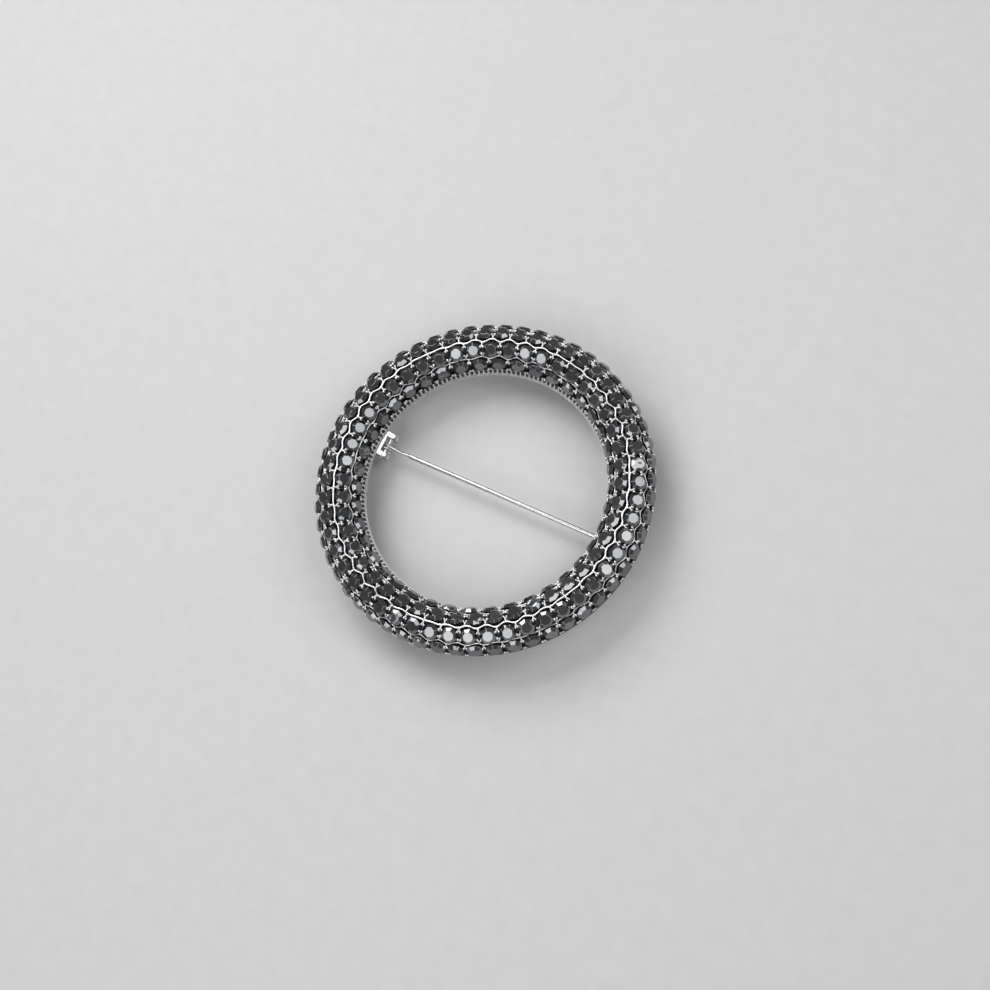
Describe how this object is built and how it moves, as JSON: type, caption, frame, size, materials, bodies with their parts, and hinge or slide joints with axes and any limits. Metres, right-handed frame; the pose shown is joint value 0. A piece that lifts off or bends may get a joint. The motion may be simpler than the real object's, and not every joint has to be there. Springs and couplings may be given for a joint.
{
  "type": "brooch",
  "caption": "Open ring brooch, pave set all round with dark faceted stones in curved rows, with a hinged pin across the opening and a turning safety catch behind the ring.",
  "frame": {"origin": "centre of the ring on the plane of its back rims; the thumb tab reaches as far behind that plane as the stones stand in front of it, so this is also the centre of the bounding box", "axes": "+Z out of the front of the brooch, +X along the pin from the hinge to the catch"},
  "size_m": [0.0494, 0.0494, 0.0088],
  "materials": {
    "ring_metal": "cast, plated silver-grey (gunmetal), polished rails and bead prongs",
    "findings_metal": "polished plated steel wire and stampings",
    "stone": "opaque jet glass chatons with a hematite mirror coat, eight crown facets round a flat table"
  },
  "bodies": {
    "ring": {"ring_shell": "ring_metal", "hinge_body": "findings_metal", "hinge_rivet": "findings_metal", "catch_body": "findings_metal", "stones_inner_flank_1": "stone", "stones_inner_flank_2": "stone", "stones_inner_flank_3": "stone", "stones_inner_flank_4": "stone", "stones_inner_flank_5": "stone", "stones_inner_flank_6": "stone", "stones_inner_main_1": "stone", "stones_inner_main_2": "stone", "stones_inner_main_3": "stone", "stones_inner_main_4": "stone", "stones_inner_main_5": "stone", "stones_inner_main_6": "stone", "stones_outer_main_1": "stone", "stones_outer_main_2": "stone", "stones_outer_main_3": "stone", "stones_outer_main_4": "stone", "stones_outer_main_5": "stone", "stones_outer_main_6": "stone", "stones_outer_flank_1": "stone", "stones_outer_flank_2": "stone", "stones_outer_flank_3": "stone", "stones_outer_flank_4": "stone", "stones_outer_flank_5": "stone", "stones_outer_flank_6": "stone"},
    "pin": {"pin_stem": "findings_metal"},
    "rotor": {"catch_rotor": "findings_metal"}
  },
  "joints": [
    {"name": "pin_hinge", "type": "hinge", "parent": "ring", "child": "pin", "pos_m": [-0.0172, 0.00045, -0.0019], "axis": [0, 1, 0], "range_deg": [0, 95]},
    {"name": "catch_turn", "type": "hinge", "parent": "ring", "child": "rotor", "pos_m": [0.0206, 0.00045, -0.0019], "axis": [1, 0, 0], "range_deg": [0, 85]}
  ]
}
